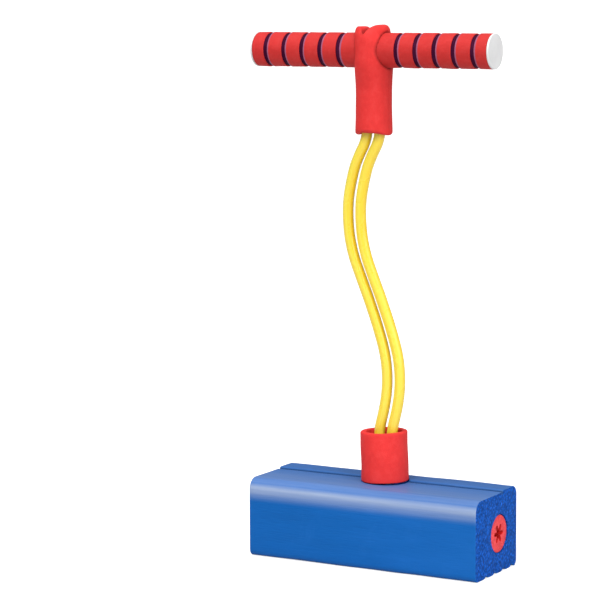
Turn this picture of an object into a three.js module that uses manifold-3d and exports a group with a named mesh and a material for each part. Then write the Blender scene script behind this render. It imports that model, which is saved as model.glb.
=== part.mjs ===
// A child's foam pogo jumper: a foam block to stand on, two elastic cords and a padded handle bar.
// Units are millimetres, +Z is up, +X runs along the handle bar and -Y is the front.
// The origin is on the block's underside, straight below the place where the cords come out.

import * as THREE from 'three';
import { mergeVertices } from 'three/addons/utils/BufferGeometryUtils.js';
import Module from 'manifold-3d';

// ---------------------------------------------------------------- driving dimensions

const gap = 0.3; // between pieces that touch
const sides = { small: 12, grip: 24, large: 32 }; // around a turned piece, by its size

const block = {
  length: 260,
  front: 56, // from the cords' plane to the front face
  back: 41, // from the cords' plane to the back face
  height: 82, // in front of the seam
  backStep: 1.6, // how much higher the strip behind the seam is
  frontTopRadius: 12,
  backTopRadius: 10,
  bottomRadius: 5,
  seamFromBack: 35, // the groove along the top
  seamWidth: 3.4,
  seamDepth: 2.6,
  treadRadius: 3, // the scallops along the underside
  treadPitch: 20,
  treadCount: 4,
};

const core = {
  height: 40, // of its axis above the floor
  diameter: 39,
  wall: 3,
};

const plug = {
  length: 30,
  inset: 1, // from the block's end face
  starPoints: 6,
  starOuter: 8.6,
  starInner: 4.2,
  starDepth: 20,
};

const cord = {
  diameter: 11.2,
  wall: 2.2,
  between: 3.4, // the free space between the two cords
  sides: 10,
  boreSides: 8,
  steps: 34,
};

const stopper = {
  headHeight: 6,
  headSpace: 0.8, // between the two heads
  shankSpace: 0.6, // all round, in the cord's bore
  shankLength: 9,
};

const collar = {
  looseness: 5.6, // between the pair of cords and the bore, at each side
  wall: 6,
  height: 51.6,
  rim: 2.2,
  seatSpace: 0.5, // around it, where it stands in the strip behind the seam
};

const bar = {
  x: -13, // the handle's middle, to the left of the base's
  height: 524, // of its axis above the floor
  pipeDiameter: 25,
  pipeWall: 2.5,
  linerThickness: 3.6,
  bandThickness: 1.05,
  gripEnd: 133.5, // from the handle's middle to the outer end of the foam
  gripStart: 0.4, // and from the pair of cords to its inner end, inside the sleeve
  firstGroove: 33,
  groovePitch: 21.2,
  grooveCount: 5,
  grooveWidth: 4.2,
};

const cap = {
  thickness: 2.2,
  rim: 0.8,
  spigotLength: 12,
};

const sleeve = {
  looseness: 0.9, // between the pair of cords and the bore, at each side
  wall: 5.05,
  below: 86, // from the bar's axis to the mouth
  overBar: 8.25, // from the grip's top to the sleeve's
  rim: 2.4,
  wallAtBar: 6.6, // in front of the bar and behind it
  bulgeReach: 42, // how far below the bar the bulge begins
  notchRadius: 9,
  notchDepth: 4.5,
};

// The route that the middle of the pair of cords follows, from inside the base's core to inside
// the handle's pipe, as [x, z]. Slack cords bow to one side and then to the other.
const route = [
  [0, 48], [0, 64], [0, 80], [0, 96], [0, 112], [0.1, 122], [0.6, 131],
  [1.9, 140], [4.4, 150], [7.2, 162.5], [9, 175], [9.6, 187.5], [9, 200],
  [7.2, 212.5], [4.2, 224.5], [0.3, 237], [-3.8, 249], [-8.3, 261],
  [-13.1, 273.5], [-18.1, 285.5], [-23, 297.5], [-27.7, 309.5], [-31.3, 321.5],
  [-33.9, 334], [-35.2, 346], [-35.7, 358.5], [-35.1, 371], [-33.1, 383.5],
  [-30.3, 396], [-26.6, 408], [-21.4, 419.5], [-16.8, 428.5], [-14.2, 436.5],
  [-13.2, 445], [-13, 458], [-13, 474], [-13, 490], [-13, 506], [-13, 520],
];

// ---------------------------------------------------------------- sizes that follow from them

const cordSpacing = cord.diameter + cord.between; // centre to centre
const pairWidth = cordSpacing + cord.diameter;
const linerBore = bar.pipeDiameter / 2 + gap; // a radius, as are the five below
const linerOuter = linerBore + bar.linerThickness;
const bandBore = linerOuter + gap;
const gripRadius = bandBore + bar.bandThickness;
const coreBore = core.diameter / 2 + gap;
const cordWell = pairWidth / 2 + 1.5;
const sleeveBore = pairWidth / 2 + sleeve.looseness;
const gripInner = pairWidth / 2 + bar.gripStart; // from the handle's middle
const sleeveOuter = sleeveBore + sleeve.wall;
const coreHalf = block.length / 2 - plug.inset - plug.length - gap;
const backHeight = block.height + block.backStep;
const seamPlace = block.back - block.seamFromBack;
const collarBore = pairWidth / 2 + collar.looseness; // a radius, as is the next
const collarOuter = collarBore + collar.wall;
const collarFoot = block.height + gap;

// ---------------------------------------------------------------- colours and finishes

const finish = (color, roughness, metalness = 0) =>
  new THREE.MeshStandardMaterial({ color, roughness, metalness });

const redFoam = finish('#e8383b', 0.85);
const pinkFoam = finish('#f0626a', 0.9);
const blueFoam = finish('#1a5fae', 0.6);
const darkBlueFoam = finish('#2b3f7c', 0.85);
const latex = finish('#f7df3c', 0.3);
const whitePlastic = finish('#ecebe8', 0.4);
const greyPlastic = finish('#b9bcc0', 0.5);

// ---------------------------------------------------------------- solids

const wasm = await Module();
wasm.setup();

/** A closed geometry as a solid that can be cut and joined. */
function solid(geometry) {
  const bare = geometry.clone();
  bare.deleteAttribute('normal');
  bare.deleteAttribute('uv');
  const merged = mergeVertices(bare, 1e-4);
  return new wasm.Manifold(new wasm.Mesh({
    numProp: 3,
    vertProperties: merged.attributes.position.array,
    triVerts: new Uint32Array(merged.index.array),
  }));
}

/** A solid as a geometry again. */
function geometryOf(body) {
  const mesh = body.getMesh();
  const geometry = new THREE.BufferGeometry();
  geometry.setAttribute('position', new THREE.BufferAttribute(mesh.vertProperties, 3));
  geometry.setIndex(new THREE.BufferAttribute(mesh.triVerts, 1));
  geometry.computeVertexNormals();
  return geometry;
}

/** A profile of [radius, height] corners turned about Z. */
function turned(profile, segments = sides.grip) {
  const points = profile.map(([radius, height]) => new THREE.Vector2(radius, height));
  return new THREE.LatheGeometry(points, segments).rotateX(Math.PI / 2);
}

/** A round bar along Z, from low to high. */
function rod(radius, low, high, segments = sides.grip) {
  return turned([[0, low], [radius, low], [radius, high], [0, high]], segments);
}

/** A ring along Z whose four edges are bevelled by rim. */
function ring(inner, outer, low, high, rim = 0, segments = sides.grip) {
  if (rim === 0) {
    return turned(
      [[inner, low], [outer, low], [outer, high], [inner, high], [inner, low]], segments);
  }
  const bend = rim * (1 - Math.SQRT1_2);
  return turned([
    [inner + rim, low], [outer - rim, low], [outer - bend, low + bend], [outer, low + rim],
    [outer, high - rim], [outer - bend, high - bend], [outer - rim, high],
    [inner + rim, high], [inner + bend, high - bend], [inner, high - rim],
    [inner, low + rim], [inner + bend, low + bend], [inner + rim, low],
  ], segments);
}

/** Turns a geometry that runs along Z to run along X. */
const alongX = (geometry) => geometry.rotateY(Math.PI / 2);

/** The two cords' places across the pair. */
const cordOffsets = { left: -cordSpacing / 2, right: cordSpacing / 2 };

/** A vertical round cutter for each cord, around the pair's middle at x. */
function cordHoles(x, low, high) {
  const radius = cord.diameter / 2 + gap;
  const [left, right] = Object.values(cordOffsets).map((offset) =>
    solid(rod(radius, low, high, sides.small).translate(x + offset, 0, 0)));
  return left.add(right);
}

// ---------------------------------------------------------------- base

/** The block's section across its length: shape x is the row's Y and shape y is its Z. */
function blockSection() {
  const { front, back, height, frontTopRadius, backTopRadius, bottomRadius } = block;
  const shape = new THREE.Shape();
  shape.moveTo(-front + bottomRadius, 0);
  for (let i = 0; i < block.treadCount; i += 1) {
    const y = (i - (block.treadCount - 1) / 2) * block.treadPitch;
    shape.lineTo(y - block.treadRadius, 0);
    shape.absarc(y, 0, block.treadRadius, Math.PI, 0, true);
  }
  shape.lineTo(back - bottomRadius, 0);
  shape.absarc(back - bottomRadius, bottomRadius, bottomRadius, -Math.PI / 2, 0);
  shape.lineTo(back, backHeight - backTopRadius);
  shape.absarc(back - backTopRadius, backHeight - backTopRadius, backTopRadius, 0, Math.PI / 2);
  shape.lineTo(seamPlace + block.seamWidth / 2, backHeight);
  shape.lineTo(seamPlace, height - block.seamDepth);
  shape.lineTo(seamPlace - block.seamWidth / 2, height);
  shape.lineTo(-front + frontTopRadius, height);
  shape.absarc(-front + frontTopRadius, height - frontTopRadius, frontTopRadius,
    Math.PI / 2, Math.PI);
  shape.lineTo(-front, bottomRadius);
  shape.absarc(-front + bottomRadius, bottomRadius, bottomRadius, Math.PI, Math.PI * 1.5);
  return shape;
}

function foamBlock() {
  const geometry = new THREE.ExtrudeGeometry(blockSection(), {
    depth: block.length, bevelEnabled: false, steps: 1, curveSegments: 5,
  });
  // The section's x and y become Y and Z, and its depth becomes X.
  const toRow = new THREE.Matrix4().makeBasis(
    new THREE.Vector3(0, 1, 0), new THREE.Vector3(0, 0, 1), new THREE.Vector3(1, 0, 0));
  geometry.applyMatrix4(toRow).translate(-block.length / 2, 0, 0);
  const bore = alongX(rod(coreBore, -block.length, block.length, sides.large))
    .translate(0, 0, core.height);
  const well = rod(cordWell, core.height, 2 * block.height, sides.grip);
  const seat = rod(collarOuter + collar.seatSpace, block.height, 2 * block.height, sides.large);
  return geometryOf(
    solid(geometry).subtract(solid(bore)).subtract(solid(well)).subtract(solid(seat)));
}

function coreTube() {
  const inner = core.diameter / 2 - core.wall;
  const tube = alongX(ring(inner, core.diameter / 2, -coreHalf, coreHalf, 0, sides.large));
  const holes = cordHoles(0, 0, core.diameter);
  return geometryOf(solid(tube).subtract(holes).translate(0, 0, core.height));
}

/** A foam plug for the core's bore: it runs along Z, with the star at its high end. */
function endPlug() {
  const star = new THREE.Shape();
  for (let i = 0; i < 2 * plug.starPoints; i += 1) {
    const radius = i % 2 ? plug.starInner : plug.starOuter;
    const angle = (i * Math.PI) / plug.starPoints + Math.PI / 2;
    const corner = [radius * Math.cos(angle), radius * Math.sin(angle)];
    if (i === 0) star.moveTo(...corner);
    else star.lineTo(...corner);
  }
  const starCutter = new THREE.ExtrudeGeometry(star, { depth: plug.starDepth * 2, bevelEnabled: false });
  starCutter.translate(0, 0, plug.length - plug.starDepth);
  const body = rod(core.diameter / 2, 0, plug.length, sides.large);
  return geometryOf(solid(body).subtract(solid(starCutter)));
}

/** A plug pushed into a cord's end: its head is past the end and its shank points up. */
function cordStopper() {
  const { headHeight, headSpace, shankSpace, shankLength } = stopper;
  const head = (cordSpacing - headSpace) / 2;
  const shank = cord.diameter / 2 - cord.wall - shankSpace;
  return turned([
    [0, -gap - headHeight], [head - 1, -gap - headHeight], [head, 1 - gap - headHeight],
    [head, -gap], [shank, -gap], [shank - 0.4, shankLength], [0, shankLength],
  ], sides.small);
}

// ---------------------------------------------------------------- cords

/** The corners of a regular polygon. */
function polygon(radius, count) {
  return Array.from({ length: count }, (_, i) => {
    const angle = (2 * Math.PI * i) / count;
    return new THREE.Vector2(radius * Math.cos(angle), radius * Math.sin(angle));
  });
}

/** One elastic cord: a tube along the pair's route, moved sideways by its offset. */
function cordTube(offset) {
  const points = route.map(([x, z]) => new THREE.Vector3(x + offset, 0, z));
  const shape = new THREE.Shape(polygon(cord.diameter / 2, cord.sides));
  shape.holes.push(new THREE.Path(polygon(cord.diameter / 2 - cord.wall, cord.boreSides)));
  return new THREE.ExtrudeGeometry(shape, {
    steps: cord.steps,
    extrudePath: new THREE.CatmullRomCurve3(points, false, 'centripetal'),
  });
}

// ---------------------------------------------------------------- handle

/** How much deeper than wide the sleeve is at a height, measured from the bar's axis. */
function bulge(height) {
  const most = (gripRadius + gap + sleeve.wallAtBar) / sleeveOuter - 1;
  const t = THREE.MathUtils.smoothstep(height, -sleeve.bulgeReach, -gripRadius / 2);
  return 1 + most * t;
}

function handleSleeve() {
  const outer = sleeveOuter;
  const inner = sleeveBore;
  const { below, rim } = sleeve;
  const above = gripRadius + sleeve.overBar;
  const bend = rim * (1 - Math.SQRT1_2);
  const rows = 6;
  const profile = [[inner + rim / 2, -below], [outer - rim, -below], [outer - bend, bend - below]];
  for (let i = 0; i <= rows; i += 1) {
    profile.push([outer, THREE.MathUtils.lerp(rim - below, above - 2 * rim, i / rows)]);
  }
  profile.push([outer - bend, above - rim], [outer - rim, above - bend], [outer - 2 * rim, above]);
  profile.push([inner, above - rim / 2]);
  for (let i = rows; i >= 0; i -= 1) {
    profile.push([inner, THREE.MathUtils.lerp(rim - below, above - 2 * rim, i / rows)]);
  }
  profile.push([inner + rim / 2, -below]);
  const geometry = turned(profile, sides.large);
  const position = geometry.attributes.position;
  for (let i = 0; i < position.count; i += 1) {
    position.setY(i, position.getY(i) * bulge(position.getZ(i)));
  }
  const barHole = alongX(rod(gripRadius + gap, -2 * outer, 2 * outer, sides.large));
  const notch = rod(sleeve.notchRadius, -3 * outer, 3 * outer).rotateX(Math.PI / 2);
  notch.translate(0, 0, above + sleeve.notchRadius - sleeve.notchDepth);
  return geometryOf(solid(geometry).subtract(solid(barHole)).subtract(solid(notch)));
}

function handlePipe() {
  const outer = bar.pipeDiameter / 2;
  const pipe = alongX(ring(outer - bar.pipeWall, outer, -bar.gripEnd, bar.gripEnd));
  return geometryOf(solid(pipe).subtract(cordHoles(0, -bar.pipeDiameter, 0)));
}

/** Each red band as [inner end, outer end], from the sleeve outwards. */
function bandSpans() {
  const grooves = Array.from({ length: bar.grooveCount }, (_, i) =>
    bar.firstGroove + i * bar.groovePitch);
  const starts = [gripInner, ...grooves.map((x) => x + bar.grooveWidth / 2)];
  const ends = [...grooves.map((x) => x - bar.grooveWidth / 2), bar.gripEnd];
  return starts.map((start, i) => [start, ends[i]]);
}

/** An end cap along Z: its disc starts at z = 0 and its spigot points down into the pipe. */
function endCap() {
  const radius = gripRadius;
  const spigot = bar.pipeDiameter / 2 - bar.pipeWall - gap;
  return turned([
    [0, -cap.spigotLength], [spigot - 0.5, -cap.spigotLength], [spigot, 1 - cap.spigotLength],
    [spigot, gap], [radius, gap], [radius, gap + cap.thickness - cap.rim],
    [radius - cap.rim, gap + cap.thickness], [0, gap + cap.thickness],
  ]);
}

// ---------------------------------------------------------------- assembly

const pogo = new THREE.Group();
pogo.name = 'pogo_stick';
const base = new THREE.Group();
const handle = new THREE.Group();
handle.position.set(bar.x, 0, bar.height);
pogo.add(base, handle);

/** Adds a named piece to a group and gives it back, to be placed. */
function piece(group, name, geometry, material) {
  const mesh = new THREE.Mesh(geometry, material);
  mesh.name = name;
  group.add(mesh);
  return mesh;
}

piece(base, 'foam_block', foamBlock(), blueFoam);
piece(base, 'core_tube', coreTube(), greyPlastic);
piece(base, 'foam_collar', ring(collarBore, collarOuter,
  collarFoot, collarFoot + collar.height, collar.rim, sides.large), redFoam);

piece(handle, 'handle_sleeve', handleSleeve(), redFoam);
piece(handle, 'handle_pipe', handlePipe(), greyPlastic);

const [lowEnd, highEnd] = [route[0], route[route.length - 1]];

for (const [side, sign] of [['left', -1], ['right', 1]]) {
  const offset = cordOffsets[side];
  piece(base, `${side}_cord`, cordTube(offset), latex);
  piece(base, `${side}_lower_stopper`, cordStopper(), whitePlastic)
    .position.set(lowEnd[0] + offset, 0, lowEnd[1]);
  const upperStopper = piece(base, `${side}_upper_stopper`, cordStopper(), whitePlastic);
  upperStopper.position.set(highEnd[0] + offset, 0, highEnd[1]);
  upperStopper.rotation.x = Math.PI;

  const endPlugMesh = piece(base, `${side}_end_plug`, endPlug(), pinkFoam);
  endPlugMesh.position.set(sign * (coreHalf + gap), 0, core.height);
  endPlugMesh.rotation.y = (sign * Math.PI) / 2;

  const span = (from, to) => [Math.min(sign * from, sign * to), Math.max(sign * from, sign * to)];
  const liner = ring(linerBore, linerOuter, ...span(gripInner, bar.gripEnd));
  piece(handle, `${side}_grip_liner`, alongX(liner), darkBlueFoam);
  bandSpans().forEach(([from, to], i) => {
    const band = ring(bandBore, gripRadius, ...span(from, to));
    piece(handle, `${side}_grip_band_${i + 1}`, alongX(band), redFoam);
  });
  const capMesh = piece(handle, `${side}_end_cap`, endCap(), whitePlastic);
  capMesh.position.x = sign * bar.gripEnd;
  capMesh.rotation.y = (sign * Math.PI) / 2;
}

export default pogo;
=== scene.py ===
"""A child's foam pogo jumper: a foam block to stand on, two elastic cords and a padded handle bar.

Metres throughout. +Z is up, +X runs along the handle bar and -Y is the front.
"""

import math

import bmesh
import bpy
from bpy.props import (
    FloatProperty,
    FloatVectorProperty,
    IntProperty,
    PointerProperty,
)
from bpy.types import Operator, Panel, PropertyGroup
from mathutils import Matrix, Quaternion, Vector, noise


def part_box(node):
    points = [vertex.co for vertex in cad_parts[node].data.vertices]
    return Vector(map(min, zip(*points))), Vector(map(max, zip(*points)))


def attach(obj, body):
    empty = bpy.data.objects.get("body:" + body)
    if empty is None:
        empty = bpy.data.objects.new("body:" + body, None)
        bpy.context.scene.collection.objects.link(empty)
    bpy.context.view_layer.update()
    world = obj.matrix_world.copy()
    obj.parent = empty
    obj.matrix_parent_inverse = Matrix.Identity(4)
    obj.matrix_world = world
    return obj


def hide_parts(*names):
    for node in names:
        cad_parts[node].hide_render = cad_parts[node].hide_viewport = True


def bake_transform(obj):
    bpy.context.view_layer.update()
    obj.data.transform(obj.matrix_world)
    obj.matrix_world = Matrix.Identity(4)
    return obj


bl_info = {
    "name": "Foam pogo jumper",
    "version": (1, 0, 0),
    "blender": (4, 5, 0),
    "location": "3D View > Sidebar > Pogo",
    "description": "Builds a foam pogo jumper, piece by piece, around its CAD frame",
    "category": "Object",
}

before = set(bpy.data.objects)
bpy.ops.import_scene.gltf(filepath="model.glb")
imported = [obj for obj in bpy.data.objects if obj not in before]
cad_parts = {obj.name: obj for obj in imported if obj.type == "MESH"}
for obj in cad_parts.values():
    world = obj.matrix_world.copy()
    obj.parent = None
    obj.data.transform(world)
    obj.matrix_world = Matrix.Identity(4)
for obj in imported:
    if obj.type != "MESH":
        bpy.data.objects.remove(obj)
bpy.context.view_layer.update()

MM = 0.001
FULL_TURN = 2 * math.pi

# What the frame says about where things are.
BLOCK_LOW, BLOCK_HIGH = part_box("foam_block")
PLUG_LOW, PLUG_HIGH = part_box("right_end_plug")
COLLAR_LOW, COLLAR_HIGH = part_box("foam_collar")
SLEEVE_LOW, SLEEVE_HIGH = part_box("handle_sleeve")
LINER_LOW, LINER_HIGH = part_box("right_grip_liner")
BAND_LOW, BAND_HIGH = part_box("right_grip_band_1")
CAP_LOW, CAP_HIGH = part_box("right_end_cap")
LEFT_CAP_LOW, LEFT_CAP_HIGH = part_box("left_end_cap")
CORE_LOW, CORE_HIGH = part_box("core_tube")

CORE_HEIGHT = (CORE_LOW.z + CORE_HIGH.z) / 2
BAR_CENTRE = Vector(((LEFT_CAP_LOW.x + CAP_HIGH.x) / 2, 0.0, (BAND_LOW.z + BAND_HIGH.z) / 2))
GRIP_RADIUS = (BAND_HIGH.z - BAND_LOW.z) / 2
LINER_RADIUS = (LINER_HIGH.z - LINER_LOW.z) / 2
PLUG_RADIUS = (PLUG_HIGH.z - PLUG_LOW.z) / 2
COLLAR_RADIUS = (COLLAR_HIGH.x - COLLAR_LOW.x) / 2
SLEEVE_RADIUS = (SLEEVE_HIGH.x - SLEEVE_LOW.x) / 2
SLEEVE_DEPTH = (SLEEVE_HIGH.y - SLEEVE_LOW.y) / 2

# The middle of the pair of cords, from inside the block to inside the handle, as X and Z in mm.
CORD_ROUTE = [
    (0, 48), (0, 64), (0, 80), (0, 96), (0, 112), (0.1, 122), (0.6, 131),
    (1.9, 140), (4.4, 150), (7.2, 162.5), (9, 175), (9.6, 187.5), (9, 200),
    (7.2, 212.5), (4.2, 224.5), (0.3, 237), (-3.8, 249), (-8.3, 261),
    (-13.1, 273.5), (-18.1, 285.5), (-23, 297.5), (-27.7, 309.5), (-31.3, 321.5),
    (-33.9, 334), (-35.2, 346), (-35.7, 358.5), (-35.1, 371), (-33.1, 383.5),
    (-30.3, 396), (-26.6, 408), (-21.4, 419.5), (-16.8, 428.5), (-14.2, 436.5),
    (-13.2, 445), (-13, 458), (-13, 474), (-13, 490), (-13, 506), (-13, 520),
]

# Where each stretch of cord begins and ends, and the two bodies that it bends between, with the
# heights where it stops following the one and follows only the other.
CORD_STRETCHES = [
    ("base", "collar", 0.048, 0.136, 0.086, 0.130),
    ("collar", "cord_lower", 0.136, 0.206, 0.138, 0.204),
    ("cord_lower", "cord_upper", 0.206, 0.388, 0.208, 0.384),
    ("cord_upper", "sleeve", 0.388, 0.440, 0.390, 0.438),
    ("sleeve", "bar", 0.440, 0.520, 0.450, 0.506),
]

# How far the crease over the sleeve runs to the left for each metre that it runs back.
CREASE_SLANT = 0.19

# Each grip's bands, as distances from the handle's middle in mm.
BAND_SPANS = [
    (13.3, 30.9), (35.1, 52.1), (56.3, 73.3), (77.5, 94.5), (98.7, 115.7), (119.9, 133.5),
]


# ------------------------------------------------------------------ settings


def length(name, description, default, low=0.0, high=1.0):
    """A length in metres, shown in the scene's units."""
    return FloatProperty(
        name=name, description=description, default=default, min=low, max=high,
        subtype="DISTANCE", unit="LENGTH", precision=5,
    )


def colour(name, description, default):
    """A colour without alpha, in scene-linear values."""
    return FloatVectorProperty(
        name=name, description=description, default=default, size=3,
        min=0.0, max=1.0, subtype="COLOR",
    )


class PogoBlockSettings(PropertyGroup):
    """Sizes of the foam block's outline and of the plugs in its ends."""

    front_rounding: length("Front rounding", "Radius along the top front edge", 0.012)
    back_rounding: length("Back rounding", "Radius along the top back edge", 0.010)
    front_foot: length("Front foot", "Radius along the bottom front edge", 0.007)
    back_foot: length("Back foot", "Radius along the bottom back edge", 0.006)
    back_step: length("Back step", "How much higher the strip behind the seam is", 0.0016)
    seam_place: length("Seam place", "The seam's place behind the cords", 0.006)
    seam_width: length("Seam width", "Width of the groove along the top", 0.0034)
    seam_depth: length("Seam depth", "Depth of the groove along the top", 0.0026)
    tread_depth: length("Tread depth", "Depth of the notches between the ribs underneath", 0.003)
    tread_pitch: length("Tread pitch", "Distance between the notches", 0.020)
    cut_edge: length("Cut edge", "Softness of the edge round each cut end", 0.0007)
    well_radius: length("Well radius", "Radius of the hole that the cords go down", 0.0144)
    seat_space: length("Seat space", "Free space round the collar where it stands", 0.0005)
    seat_depth: length("Seat depth", "How deep the collar's seat goes into the top", 0.0006)
    unevenness: length("Unevenness", "How far the foam's skin wanders", 0.00035)
    star_reach: length("Star reach", "Radius to the tips of the plug's star hole", 0.0102)
    star_waist: length("Star waist", "Radius to the star hole's inner corners", 0.0046)
    star_arm: length("Star arm", "Half the width of the star hole's arms", 0.0021)
    star_depth: length("Star depth", "Depth of the plug's star hole", 0.010)


class PogoCollarSettings(PropertyGroup):
    """Sizes of the loose foam collar."""

    wall: length("Wall", "Thickness of the collar's foam", 0.006)
    rim: length("Rim", "Rounding of the collar's edges", 0.0022)
    lift: length("Lift", "How far the tilted collar is clear of the block", 0.0005)
    tilt: FloatProperty(
        name="Tilt", description="How far the collar leans to the left",
        default=math.radians(1.7), subtype="ANGLE", unit="ROTATION",
    )


class PogoCordSettings(PropertyGroup):
    """Sizes of the two elastic cords."""

    diameter: length("Diameter", "Outside diameter of one cord", 0.0112)
    spacing: length("Spacing", "Distance between the cords' middles", 0.0146)
    step: length("Step", "Distance between the rings that a cord is drawn with", 0.003)
    sides: IntProperty(
        name="Sides", description="Corners of a cord's section", default=28, min=8, max=96,
    )


class PogoSleeveSettings(PropertyGroup):
    """Sizes of the T-shaped sleeve."""

    bore: length("Bore", "Radius of the hole that the cords go up", 0.0138)
    mouth_rounding: length("Mouth rounding", "Rounding of the sleeve's lower rim", 0.002)
    mouth_flare: length("Mouth flare", "How much wider the sleeve is at its lower rim", 0.0006)
    mouth_arch: length("Mouth arch", "How much the rim rises at the front and back", 0.0045)
    bar_space: length("Bar space", "Free space between the bar and the sleeve", 0.0001)
    bulge_reach: length("Bulge reach", "How far below the bar the bulge begins", 0.042)
    slimness: length("Slimness", "How much the sleeve draws in above its lower rim", 0.0005)
    top_narrowing: FloatProperty(
        name="Top narrowing", description="How much the right lobe draws in over the bar",
        default=0.17, min=0.0, max=0.5, subtype="FACTOR",
    )
    notch_floor: length("Notch floor", "Foam left over the bar under the crease", 0.0021)
    crease_place: FloatProperty(
        name="Crease place", description="How far right of the sleeve's middle the crease is",
        default=-0.0051, min=-0.02, max=0.02, subtype="DISTANCE", unit="LENGTH", precision=5,
    )
    crease_floor: length("Crease floor", "Lowest point of the crease over the bar's axis", 0.0150)
    right_lobe: length("Right lobe", "Height of the right lobe over the bar's axis", 0.0258)
    left_lobe: length("Left lobe", "Height of the left lobe over the bar's axis", 0.0242)
    grain: length("Grain", "Size of the cells that the sleeve is resampled with", 0.0008, 0.0003)


class PogoGripSettings(PropertyGroup):
    """Sizes of the grips' bands, liners and caps."""

    band_thickness: length("Band thickness", "Thickness of a red band", 0.00105)
    band_rim: length("Band rim", "Rounding of a band's outer edges", 0.0009)
    mauve_width: length("Mauve width", "Width of the mauve edge at a band's left end", 0.0018)
    saddle: length("Saddle", "How far the inner bands reach round the cords", 0.0045)
    liner_thickness: length("Liner thickness", "Thickness of the dark foam", 0.0036)
    cap_rim: length("Cap rim", "Rounding of a cap's edge", 0.0008)
    cap_dome: length("Cap dome", "How far a cap's middle stands out", 0.0002)
    segments: IntProperty(
        name="Segments", description="Sides of a turned grip piece", default=96, min=24, max=256,
    )


class PogoColourSettings(PropertyGroup):
    """The colours of the foams, latex and plastics."""

    blue: colour("Blue skin", "The block's moulded skin", (0.0006, 0.098, 0.370))
    # The colour of the painted highlight along the block's top front edge and of the painted pale
    # reflection over its top.
    bloom: colour("Painted highlight", "The pale bloom along the block's top front edge", (0.44, 0.50, 0.60))
    blue_cut: colour("Blue cut", "The block's cut ends", (0.0008, 0.076, 0.400))
    red: colour("Red", "The collar, sleeve and bands", (0.740, 0.032, 0.030))
    pink: colour("Pink", "The plugs' faces", (0.90, 0.075, 0.085))
    star: colour("Star", "Inside the plugs' star holes", (0.80, 0.016, 0.012))
    navy: colour("Navy", "The foam between the bands", (0.042, 0.0006, 0.022))
    mauve: colour("Mauve", "The bands' edges", (0.30, 0.070, 0.150))
    latex: colour("Latex", "The cords", (0.85, 0.66, 0.034))
    white: colour("White", "The end caps", (0.73, 0.73, 0.735))
    grey: colour("Grey", "The pipes and stoppers inside", (0.50, 0.51, 0.53))


class PogoStageSettings(PropertyGroup):
    """The camera and floor."""

    azimuth: FloatProperty(
        name="Azimuth", description="Camera's turn about the jumper",
        default=math.radians(27.7), subtype="ANGLE", unit="ROTATION",
    )
    elevation: FloatProperty(
        name="Elevation", description="Camera's height above the horizon",
        default=math.radians(7.0), subtype="ANGLE", unit="ROTATION",
    )
    distance: length("Distance", "From the camera to the middle", 2.556, 0.1, 20.0)
    lens: FloatProperty(name="Lens", description="Focal length", default=150.0, unit="CAMERA")
    middle: length("Middle", "Height that the camera is set round", 0.280)
    aside: FloatProperty(
        name="Aside", description="How far left of the middle the camera looks",
        default=math.radians(1.954), subtype="ANGLE", unit="ROTATION",
    )
    below: FloatProperty(
        name="Below", description="How far below the middle the camera looks",
        default=math.radians(0.225), subtype="ANGLE", unit="ROTATION",
    )
    roll: FloatProperty(
        name="Roll", description="Camera's tilt to the side",
        default=0.0, subtype="ANGLE", unit="ROTATION",
    )
    floor: colour("Floor", "The floor's colour", (0.62, 0.62, 0.62))


# ------------------------------------------------------------------ meshes


def smoothstep(low, high, value):
    """0 at low, 1 at high, with a soft start and end."""
    t = min(1.0, max(0.0, (value - low) / (high - low)))
    return t * t * (3 - 2 * t)


def arc(centre, radius, start, end, steps):
    """Points on an arc in a plane, from one angle in degrees to another."""
    points = []
    for i in range(steps + 1):
        angle = math.radians(start + (end - start) * i / steps)
        points.append((centre[0] + radius * math.cos(angle), centre[1] + radius * math.sin(angle)))
    return points


def with_steps(outline, step):
    """The same closed outline with extra points, so that none are further apart than step."""
    points = []
    for i, (x, y) in enumerate(outline):
        nx, ny = outline[(i + 1) % len(outline)]
        count = max(1, math.ceil(math.hypot(nx - x, ny - y) / step))
        for k in range(count):
            points.append((x + (nx - x) * k / count, y + (ny - y) * k / count))
    return points


def set_in(outline, depth):
    """A closed outline moved inwards, for one that runs anticlockwise."""
    moved = []
    for i, (x, y) in enumerate(outline):
        ax, ay = outline[i - 1]
        bx, by = outline[(i + 1) % len(outline)]
        along = Vector((bx - ax, by - ay)).normalized()
        moved.append((x - along.y * depth, y + along.x * depth))
    return moved


def loop_of(bm, points):
    """A closed loop of new vertices and the edges between them."""
    verts = [bm.verts.new(p) for p in points]
    edges = [bm.edges.new((verts[i - 1], verts[i])) for i in range(len(verts))]
    return verts, edges


def edges_of(verts):
    """The edges at some vertices, each once and always in the same order."""
    return list(dict.fromkeys(edge for vert in verts for edge in vert.link_edges))


def extrude_loop(bm, edges, matrix):
    """Extrudes a loop of edges and moves the new loop by a matrix."""
    made = bmesh.ops.extrude_edge_only(bm, edges=edges)["geom"]
    verts = [g for g in made if isinstance(g, bmesh.types.BMVert)]
    bmesh.ops.transform(bm, matrix=matrix, verts=verts)
    fresh = set(verts)
    ring = [g for g in made if isinstance(g, bmesh.types.BMEdge) and set(g.verts) <= fresh]
    return verts, ring


def ring_outline(inner, outer, low, high, inner_rim, outer_rim, step):
    """The section of a turned ring, as radius and height, with rounded edges."""
    points = arc((outer - outer_rim, low + outer_rim), outer_rim, -90, 0, 5)
    points += arc((outer - outer_rim, high - outer_rim), outer_rim, 0, 90, 5)
    points += arc((inner + inner_rim, high - inner_rim), inner_rim, 90, 180, 5)
    points += arc((inner + inner_rim, low + inner_rim), inner_rim, 180, 270, 5)
    return with_steps(points, step)


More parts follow.
